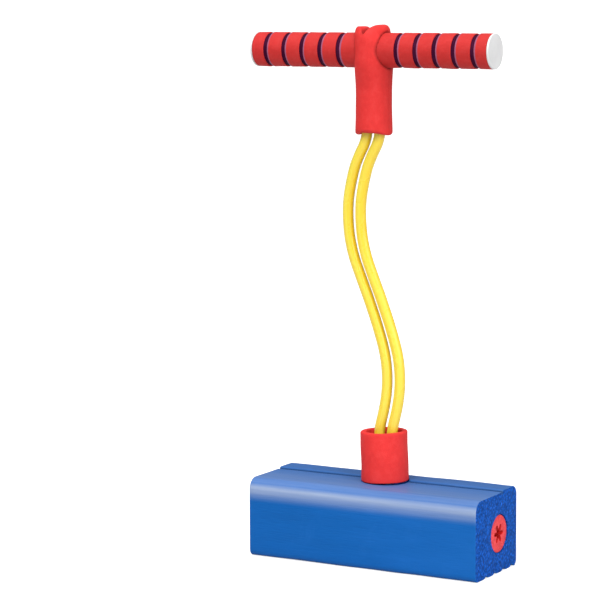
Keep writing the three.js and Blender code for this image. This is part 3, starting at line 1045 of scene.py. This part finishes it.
class POGO_OT_end_plugs(Operator):
    """Builds the two pink foam plugs with their star-shaped holes"""

    bl_idname = "pogo.end_plugs"
    bl_label = "End plugs"

    def execute(self, context):
        sizes = context.scene.pogo_block
        for side, sign in (("left", -1), ("right", 1)):
            bm = plug_shape(sizes)
            turn = Matrix.Rotation(sign * math.pi / 2, 4, "Y")
            foot = Matrix.Translation((sign * PLUG_LOW.x, 0, CORE_HEIGHT))
            bmesh.ops.transform(bm, matrix=foot @ turn, verts=bm.verts)
            bmesh.ops.recalc_face_normals(bm, faces=bm.faces)
            plug = new_object(f"{side}_end_plug_foam", bm, (pink_foam(), star_foam()))
            soften(plug, 35.0)
            hand_over(plug, "base", "pink_foam", f"{side}_end_plug")
        return {"FINISHED"}


class POGO_OT_collar(Operator):
    """Builds the loose red collar round the cords, leaning a little"""

    bl_idname = "pogo.collar"
    bl_label = "Collar"

    def execute(self, context):
        sizes = context.scene.pogo_collar
        bm = bmesh.new()
        outline = ring_outline(
            COLLAR_RADIUS - sizes.wall, COLLAR_RADIUS, COLLAR_LOW.z, COLLAR_HIGH.z,
            sizes.rim * 0.8, sizes.rim * 0.6, 0.003,
        )
        turn_about_z(bm, outline, 112)
        wander(bm, 0.022, 0.0006)
        foot = Vector((0, 0, COLLAR_LOW.z))
        lean = Matrix.Rotation(-sizes.tilt, 4, "Y")
        bmesh.ops.rotate(bm, cent=foot, matrix=lean, verts=bm.verts)
        bmesh.ops.translate(bm, vec=(0, 0, sizes.lift), verts=bm.verts)
        collar = new_object("foam_collar_ring", bm, (red_foam(),))
        soften(collar)
        hand_over(collar, "collar", "red_foam", "foam_collar")
        return {"FINISHED"}


def knot_spacing(a, b):
    """The square root of a distance, which a centripetal spline counts its knots by."""
    return math.sqrt((b - a).length)


def spline_point(p0, p1, p2, p3, t):
    """A point on the centripetal Catmull-Rom spline between p1 and p2."""
    t0 = 0.0
    t1 = t0 + knot_spacing(p0, p1)
    t2 = t1 + knot_spacing(p1, p2)
    t3 = t2 + knot_spacing(p2, p3)
    at = t1 + (t2 - t1) * t
    a1 = p0 * ((t1 - at) / (t1 - t0)) + p1 * ((at - t0) / (t1 - t0))
    a2 = p1 * ((t2 - at) / (t2 - t1)) + p2 * ((at - t1) / (t2 - t1))
    a3 = p2 * ((t3 - at) / (t3 - t2)) + p3 * ((at - t2) / (t3 - t2))
    b1 = a1 * ((t2 - at) / (t2 - t0)) + a2 * ((at - t0) / (t2 - t0))
    b2 = a2 * ((t3 - at) / (t3 - t1)) + a3 * ((at - t1) / (t3 - t1))
    return b1 * ((t2 - at) / (t2 - t1)) + b2 * ((at - t1) / (t2 - t1))


def cord_line(aside):
    """The middle of one cord as closely spaced points, and how far along it each one is."""
    knots = [Vector((x * MM + aside, 0.0, z * MM)) for x, z in CORD_ROUTE]
    knots = [knots[0] * 2 - knots[1]] + knots + [knots[-1] * 2 - knots[-2]]
    line = []
    for i in range(1, len(knots) - 2):
        for k in range(12):
            line.append(spline_point(*knots[i - 1:i + 3], k / 12))
    line.append(knots[-2])
    return line


def cord_stations(line, low, high, step):
    """Points on a line between two heights, about step apart, with both ends included."""
    def at_height(z):
        for a, b in zip(line, line[1:]):
            if a.z <= z <= b.z:
                return a.lerp(b, (z - a.z) / (b.z - a.z))
        return line[0] if z < line[0].z else line[-1]

    count = max(2, round((high - low) / step))
    return [at_height(low + (high - low) * i / count) for i in range(count + 1)]


def heading(line, point):
    """The direction that a line runs in at one of its points."""
    nearest = min(range(len(line)), key=lambda i: (line[i] - point).length_squared)
    before = line[max(0, nearest - 2)]
    after = line[min(len(line) - 1, nearest + 2)]
    return (after - before).normalized()


def cord_shape(line, low, high, sizes):
    """One stretch of a cord, closed at both ends, with its place on the straightened cord."""
    bm = bmesh.new()
    laid_out = bm.verts.layers.float_vector.new("laid_out")
    radius = sizes.diameter / 2
    stations = cord_stations(line, low, high, sizes.step)

    def seat(point):
        along = heading(line, point)
        side = Vector((0, 1, 0)).cross(along).normalized()
        turn = Matrix((side, along.cross(side), along)).transposed().to_4x4()
        return Matrix.Translation(point) @ turn

    seats = [seat(point) for point in stations]
    verts = bmesh.ops.create_circle(
        bm, cap_ends=False, segments=sizes.sides, radius=radius, matrix=seats[0],
    )["verts"]
    edges = edges_of(verts)
    first = edges
    rings = [verts]
    for before, after in zip(seats, seats[1:]):
        verts, edges = extrude_loop(bm, edges, after @ before.inverted())
        rings.append(verts)
    for place, ring, point in zip(seats, rings, stations):
        back = place.inverted()
        for vert in ring:
            flat = back @ vert.co
            vert[laid_out] = Vector((flat.x, flat.y, point.z))
    for cap in (first, edges):
        bmesh.ops.contextual_create(bm, geom=cap)
        for edge in cap:
            edge.smooth = False
    bmesh.ops.recalc_face_normals(bm, faces=bm.faces)
    return bm


class POGO_OT_cords(Operator):
    """Builds the two elastic cords, each in the stretches listed in CORD_STRETCHES"""

    bl_idname = "pogo.cords"
    bl_label = "Elastic cords"

    def execute(self, context):
        sizes = context.scene.pogo_cords
        for side, sign in (("left", -1), ("right", 1)):
            line = cord_line(sign * sizes.spacing / 2)
            for i, (lower, upper, low, high, start, end) in enumerate(CORD_STRETCHES, 1):
                bm = cord_shape(line, low, high, sizes)
                cord = new_object(f"{side}_cord_{i}", bm, (yellow_latex(),))
                cord.data.polygons.foreach_set("use_smooth", [True] * len(cord.data.polygons))
                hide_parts(f"{side}_cord")
                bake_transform(cord)
        return {"FINISHED"}


def sleeve_half_sizes(sizes, height):
    """The sleeve's half width and half depth at a height over the bar's axis."""
    begin = smoothstep(-sizes.bulge_reach, -0.0089, height)
    depth = SLEEVE_RADIUS + (SLEEVE_DEPTH - SLEEVE_RADIUS) * begin
    width = SLEEVE_RADIUS - sizes.slimness
    mouth = height + (BAR_CENTRE.z - SLEEVE_LOW.z)
    flare = sizes.mouth_flare * math.exp(-((mouth / 0.016) ** 2))
    width += flare
    depth += flare
    if mouth < sizes.mouth_rounding:
        drop = 1 - mouth / sizes.mouth_rounding
        tuck = sizes.mouth_rounding * (1 - math.sqrt(max(0.0, 1 - drop * drop)))
        depth -= tuck
        width -= tuck
    crown = 0.010
    top = SLEEVE_HIGH.z - BAR_CENTRE.z
    if height > crown:
        depth *= math.sqrt(max(0.02, 1 - ((height - crown) / (top - crown + 0.004)) ** 2))
    corner = 0.0065
    if height > top - corner:
        reach = (height - (top - corner)) / corner
        width -= corner * (1 - math.sqrt(max(0.0, 1 - reach * reach)))
    return width, depth


def crease_line(sizes, y):
    """How far right of the sleeve's middle the crease between its lobes is, from front to back."""
    return sizes.crease_place - CREASE_SLANT * y


def sleeve_top(sizes, x, y):
    """The height of the sleeve's two lobes and the crease between them, over the bar's axis."""
    over_bar = GRIP_RADIUS + sizes.bar_space + sizes.notch_floor
    arch = math.sqrt(max(0.0, over_bar * over_bar - y * y))
    floor = max(arch, sizes.crease_floor)
    out = x - crease_line(sizes, y)
    if out > 0:
        lobe, reach = sizes.right_lobe, 0.014
    else:
        lobe, reach = sizes.left_lobe, 0.0075
    t = min(1.0, abs(out) / reach)
    return floor + (lobe - floor) * (1 - (1 - t) ** 2.2)


def sleeve_body(sizes):
    """The sleeve's outside, closed, before anything is cut from it."""
    bm = bmesh.new()
    top = SLEEVE_HIGH.z - BAR_CENTRE.z
    bottom = SLEEVE_LOW.z - BAR_CENTRE.z
    count = 90
    heights = [bottom + (top - bottom) * i / count for i in range(count + 1)]
    width, depth = sleeve_half_sizes(sizes, heights[0])
    verts = bmesh.ops.create_circle(
        bm, cap_ends=False, segments=96, radius=1.0,
        matrix=Matrix.Translation((0, 0, heights[0])) @ Matrix.Diagonal((width, depth, 1, 1)),
    )["verts"]
    edges = edges_of(verts)
    first = edges
    for before, after in zip(heights, heights[1:]):
        old = sleeve_half_sizes(sizes, before)
        new = sleeve_half_sizes(sizes, after)
        grow = Matrix.Diagonal((new[0] / old[0], new[1] / old[1], 1, 1))
        step = Matrix.Translation((0, 0, after - before))
        _, edges = extrude_loop(bm, edges, step @ grow)
    bmesh.ops.contextual_create(bm, geom=first)
    bmesh.ops.contextual_create(bm, geom=edges)
    for vert in bm.verts:
        low = 1 - smoothstep(bottom, bottom + 0.02, vert.co.z)
        facing = min(1.0, abs(vert.co.y) / SLEEVE_RADIUS)
        if vert.co.x > 0:
            vert.co.x *= 1 - sizes.top_narrowing * smoothstep(0.008, 0.018, vert.co.z)
        vert.co.z += sizes.mouth_arch * facing * facing * low
    bmesh.ops.recalc_face_normals(bm, faces=bm.faces)
    return bm


def sleeve_cutters(sizes):
    """What is taken out of the sleeve: the bar's hole, the cords' bore and the notch above."""
    hole = bmesh.new()
    radius = GRIP_RADIUS + sizes.bar_space
    bmesh.ops.create_cone(
        hole, cap_ends=True, segments=96, radius1=radius, radius2=radius, depth=0.08,
        matrix=Matrix.Rotation(math.pi / 2, 4, "Y"),
    )
    bore = bmesh.new()
    bottom = SLEEVE_LOW.z - BAR_CENTRE.z
    bmesh.ops.create_cone(
        bore, cap_ends=True, segments=64, radius1=sizes.bore, radius2=sizes.bore,
        depth=-bottom + 0.01, matrix=Matrix.Translation((0, 0, bottom / 2 - 0.005)),
    )
    notch = bmesh.new()
    bmesh.ops.create_grid(notch, x_segments=90, y_segments=90, size=0.034)
    for vert in notch.verts:
        vert.co.z = sleeve_top(sizes, vert.co.x, vert.co.y)
    lid = bmesh.ops.extrude_face_region(notch, geom=notch.faces[:])["geom"]
    lid = [g for g in lid if isinstance(g, bmesh.types.BMVert)]
    for vert in lid:
        vert.co.z = 0.05
    bmesh.ops.recalc_face_normals(notch, faces=notch.faces)
    return {"bar_hole_cutter": hole, "bore_cutter": bore, "notch_cutter": notch}


class POGO_OT_sleeve(Operator):
    """Builds the red T-shaped sleeve that the bar goes through and the cords go up into"""

    bl_idname = "pogo.sleeve"
    bl_label = "Sleeve"

    def execute(self, context):
        sizes = context.scene.pogo_sleeve
        sleeve = new_object("handle_sleeve_foam", sleeve_body(sizes))
        for name, cutter in sleeve_cutters(sizes).items():
            cut_with(sleeve, new_object(name, cutter))
        even = sleeve.modifiers.new("Even grain", "REMESH")
        even.mode = "VOXEL"
        even.voxel_size = sizes.grain
        rounding = sleeve.modifiers.new("Soft edges", "SMOOTH")
        rounding.factor = 0.5
        rounding.iterations = 3
        settle(sleeve)
        bm = bmesh.new()
        bm.from_mesh(sleeve.data)
        if not bm.faces:
            raise RuntimeError("the sleeve came out empty")
        wander(bm, 0.016, 0.00022)
        bmesh.ops.translate(bm, vec=BAR_CENTRE, verts=bm.verts)
        bm.to_mesh(sleeve.data)
        bm.free()
        sleeve.data.materials.clear()
        sleeve.data.materials.append(sleeve_foam())
        sleeve.data.polygons.foreach_set("use_smooth", [True] * len(sleeve.data.polygons))
        hand_over(sleeve, "sleeve", "red_foam", "handle_sleeve")
        return {"FINISHED"}


def reach_in(bm, near, far, depth):
    """Draws a band's inner end towards the cords at its front and back, to close against the sleeve."""
    for vert in bm.verts:
        out = vert.co.x - BAR_CENTRE.x
        share = 1 - min(1.0, max(0.0, (abs(out) - near) / (far - near)))
        facing = smoothstep(0.45, 0.80, abs(vert.co.y) / GRIP_RADIUS)
        vert.co.x -= math.copysign(depth * share * facing, out)


class POGO_OT_grips(Operator):
    """Builds both grips: the red foam bands and the dark foam that shows between them"""

    bl_idname = "pogo.grips"
    bl_label = "Grips"

    def execute(self, context):
        sizes = context.scene.pogo_grips
        band_bore = GRIP_RADIUS - sizes.band_thickness
        for side, sign in (("left", -1), ("right", 1)):
            for i, (near, far) in enumerate(BAND_SPANS, 1):
                bm = bmesh.new()
                outline = ring_outline(
                    band_bore, GRIP_RADIUS, near * MM, far * MM, 0.0001, sizes.band_rim, 0.0009,
                )
                turn_about_z(bm, outline, sizes.segments)
                lay_along_bar(bm, sign)
                bmesh.ops.recalc_face_normals(bm, faces=bm.faces)
                if i == 1:
                    reach_in(bm, near * MM, far * MM, sizes.saddle)
                left_end = min(v.co.x for v in bm.verts)
                by_groove = sign > 0 or i < len(BAND_SPANS)
                for face in bm.faces:
                    near_end = face.calc_center_median().x < left_end + sizes.mauve_width
                    face.material_index = 1 if near_end and by_groove and i > (sign > 0) else 0
                wander(bm, 0.014, 0.0003)
                name = f"{side}_grip_band_{i}"
                band = new_object(f"{name}_foam", bm, (grip_foam(), mauve_foam()))
                soften(band, 50.0)
                hand_over(band, "bar", "red_foam", name)
            bm = bmesh.new()
            outline = ring_outline(
                LINER_RADIUS - sizes.liner_thickness, LINER_RADIUS,
                BAND_SPANS[0][0] * MM, BAND_SPANS[-1][1] * MM, 0.0004, 0.0004, 0.006,
            )
            turn_about_z(bm, outline, sizes.segments)
            lay_along_bar(bm, sign)
            bmesh.ops.recalc_face_normals(bm, faces=bm.faces)
            liner = new_object(f"{side}_grip_liner_foam", bm, (navy_foam(),))
            soften(liner)
            hand_over(liner, "bar", "dark_blue_foam", f"{side}_grip_liner")
        return {"FINISHED"}


class POGO_OT_end_caps(Operator):
    """Builds the two white caps, each with a spigot in the pipe's end"""

    bl_idname = "pogo.end_caps"
    bl_label = "End caps"

    def execute(self, context):
        sizes = context.scene.pogo_grips
        outer = CAP_HIGH.x - BAR_CENTRE.x
        foot = BAND_SPANS[-1][1] * MM + 0.0003
        spigot_end = CAP_LOW.x - BAR_CENTRE.x
        spigot = 0.0097
        rim = sizes.cap_rim
        face = outer - sizes.cap_dome
        profile = [(0.0, spigot_end), (spigot - 0.0005, spigot_end), (spigot, spigot_end + 0.001)]
        profile += [(spigot, foot), (GRIP_RADIUS - 0.0003, foot), (GRIP_RADIUS, foot + 0.0003)]
        profile += arc((GRIP_RADIUS - rim, face - rim), rim, 0, 90, 6)
        dome = 8
        for i in range(1, dome + 1):
            radius = (GRIP_RADIUS - rim) * (1 - i / dome)
            rise = 1 - (radius / (GRIP_RADIUS - rim)) ** 2
            profile.append((radius, face + sizes.cap_dome * rise))
        for side, sign in (("left", -1), ("right", 1)):
            bm = bmesh.new()
            verts = [bm.verts.new((radius, 0.0, height)) for radius, height in profile]
            edges = [bm.edges.new(pair) for pair in zip(verts, verts[1:])]
            bmesh.ops.spin(
                bm, geom=verts + edges, cent=(0, 0, 0), axis=(0, 0, 1), dvec=(0, 0, 0),
                angle=FULL_TURN, steps=sizes.segments, use_merge=True, use_duplicate=False,
            )
            bmesh.ops.remove_doubles(bm, verts=bm.verts, dist=1e-6)
            lay_along_bar(bm, sign)
            bmesh.ops.recalc_face_normals(bm, faces=bm.faces)
            cap = new_object(f"{side}_end_cap_shell", bm, (white_plastic(),))
            soften(cap, 35.0)
            hand_over(cap, "bar", "white_plastic", f"{side}_end_cap")
        return {"FINISHED"}


class POGO_OT_inner_finishes(Operator):
    """Gives the pipes and stoppers inside their plastics"""

    bl_idname = "pogo.inner_finishes"
    bl_label = "Inner finishes"

    def execute(self, context):
        finishes = {"core_tube": grey_plastic(), "handle_pipe": grey_plastic()}
        for side in ("left", "right"):
            for level in ("lower", "upper"):
                finishes[f"{side}_{level}_stopper"] = white_plastic()
        for name, material in finishes.items():
            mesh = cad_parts[name].data
            mesh.materials.clear()
            mesh.materials.append(material)
        return {"FINISHED"}


# ------------------------------------------------------------------ stage


def soft_light(name, place, target, size, power):
    """A large rectangular lamp that faces a point and isn't seen itself."""
    lamp = bpy.data.lights.new(name, "AREA")
    lamp.shape = "RECTANGLE"
    lamp.size, lamp.size_y = size
    lamp.energy = power
    holder = bpy.data.objects.new(name, lamp)
    bpy.context.scene.collection.objects.link(holder)
    holder.location = place
    holder.rotation_mode = "QUATERNION"
    holder.rotation_quaternion = (Vector(target) - Vector(place)).to_track_quat("-Z", "Y")
    holder.visible_camera = False


def soft_sun(name, azimuth, elevation, strength, softness):
    """An even light from far away, by its bearing from the front and its height, in degrees."""
    lamp = bpy.data.lights.new(name, "SUN")
    lamp.energy = strength
    lamp.angle = math.radians(softness)
    holder = bpy.data.objects.new(name, lamp)
    bpy.context.scene.collection.objects.link(holder)
    az, el = math.radians(azimuth), math.radians(elevation)
    towards = Vector((math.sin(az) * math.cos(el), -math.cos(az) * math.cos(el), math.sin(el)))
    holder.rotation_mode = "QUATERNION"
    holder.rotation_quaternion = (-towards).to_track_quat("-Z", "Y")


def pale_floor(tint):
    """A plain pale floor that looks bright but throws little light back up."""
    material, tree, shader = new_material("Pale floor")
    join = tree.links.new
    grain = add_node(tree, "ShaderNodeTexNoise", (-400, 0), scale=3.0, detail=2.0)
    join(place_in(tree), grain.inputs["Vector"])
    grained = mixed(tree, (-100, 0), grain.outputs["Fac"], rgba(tint), rgba(tint, 1.02))
    join(grained, shader.inputs["Base Color"])
    shader.inputs["Roughness"].default_value = 0.9
    shader.inputs["Specular IOR Level"].default_value = 0.1
    shader.inputs["Emission Color"].default_value = (1.0, 1.0, 1.0, 1.0)
    path = add_node(tree, "ShaderNodeLightPath", (-100, -300))
    glow = maths(tree, (200, -300), "MULTIPLY", path.outputs["Is Camera Ray"], 0.62)
    join(glow, shader.inputs["Emission Strength"])
    return material


def studio_world():
    """A dim, even room that is brighter overhead, with a white backdrop."""
    world = bpy.data.worlds.new("Studio")
    world.use_nodes = True
    tree = world.node_tree
    backdrop = tree.nodes["Background"]
    where = add_node(tree, "ShaderNodeTexCoord", (-900, 0))
    split = add_node(tree, "ShaderNodeSeparateXYZ", (-700, 0))
    tree.links.new(where.outputs["Generated"], split.inputs["Vector"])
    room = ranged(tree, (-500, 0), split.outputs["Z"], 0.2, 1.0, 0.24, 0.55)
    path = add_node(tree, "ShaderNodeLightPath", (-500, 300))
    seen = maths(tree, (-300, 100), "MAXIMUM", room, path.outputs["Is Camera Ray"])
    tree.links.new(seen, backdrop.inputs["Strength"])
    backdrop.inputs["Color"].default_value = (1.0, 1.0, 1.0, 1.0)
    return world


class POGO_OT_stage(Operator):
    """Sets the floor, the soft lights and the camera"""

    bl_idname = "pogo.stage"
    bl_label = "Stage"

    def execute(self, context):
        scene = context.scene
        stage = scene.pogo_stage
        az, el = stage.azimuth, stage.elevation
        back = Vector((math.sin(az) * math.cos(el), -math.cos(az) * math.cos(el), math.sin(el)))
        middle = Vector((0, 0, stage.middle))
        camera = bpy.data.objects.new("Camera", bpy.data.cameras.new("Camera"))
        scene.collection.objects.link(camera)
        camera.data.lens = stage.lens
        camera.data.sensor_width = 36.0
        camera.location = middle + back * stage.distance
        camera.rotation_mode = "QUATERNION"
        aside = Quaternion((0, 1, 0), stage.aside)
        below = Quaternion((1, 0, 0), -stage.below)
        roll = Quaternion((0, 0, 1), stage.roll)
        camera.rotation_quaternion = (-back).to_track_quat("-Z", "Y") @ roll @ aside @ below
        scene.camera = camera

        bm = bmesh.new()
        bmesh.ops.create_grid(bm, x_segments=2, y_segments=2, size=200.0)
        floor = new_object("floor", bm, (pale_floor(stage.floor),))
        scene.world = studio_world()
        soft_sun("Key", azimuth=4.0, elevation=34.0, strength=1.95, softness=35.0)
        soft_sun("Fill", azimuth=76.0, elevation=22.0, strength=1.6, softness=60.0)
        soft_light("Overhead strip", (0.0, -0.25, 2.2), (0, 0, 0.1), (2.2, 0.35), 22.0)
        scene.view_settings.view_transform = "Standard"
        return {"FINISHED"}


# ------------------------------------------------------------------ panel and registration

PIECES = (
    POGO_OT_foam_block,
    POGO_OT_end_plugs,
    POGO_OT_collar,
    POGO_OT_cords,
    POGO_OT_sleeve,
    POGO_OT_grips,
    POGO_OT_end_caps,
    POGO_OT_inner_finishes,
    POGO_OT_stage,
)

SETTINGS = {
    "pogo_block": PogoBlockSettings,
    "pogo_collar": PogoCollarSettings,
    "pogo_cords": PogoCordSettings,
    "pogo_sleeve": PogoSleeveSettings,
    "pogo_grips": PogoGripSettings,
    "pogo_colours": PogoColourSettings,
    "pogo_stage": PogoStageSettings,
}


class VIEW3D_PT_pogo(Panel):
    """Lists the jumper's pieces and their sizes"""

    bl_label = "Pogo jumper"
    bl_idname = "VIEW3D_PT_pogo"
    bl_space_type = "VIEW_3D"
    bl_region_type = "UI"
    bl_category = "Pogo"

    def draw(self, context):
        for piece in PIECES:
            self.layout.operator(piece.bl_idname)
        for name in SETTINGS:
            group = getattr(context.scene, name)
            box = self.layout.box()
            box.label(text=name.replace("pogo_", "").capitalize())
            for setting in group.bl_rna.properties:
                if setting.identifier not in ("rna_type", "name"):
                    box.prop(group, setting.identifier)


CLASSES = (*SETTINGS.values(), *PIECES, VIEW3D_PT_pogo)


def register():
    """Makes the settings, operators and panel known to Blender."""
    for cls in CLASSES:
        bpy.utils.register_class(cls)
    for name, group in SETTINGS.items():
        setattr(bpy.types.Scene, name, PointerProperty(type=group))


def unregister():
    """Takes them away again."""
    for name in SETTINGS:
        delattr(bpy.types.Scene, name)
    for cls in reversed(CLASSES):
        bpy.utils.unregister_class(cls)


def main():
    """Builds every piece and the stage."""
    register()
    for piece in PIECES:
        family, name = piece.bl_idname.split(".")
        getattr(getattr(bpy.ops, family), name)()


if __name__ == "__main__":
    main()
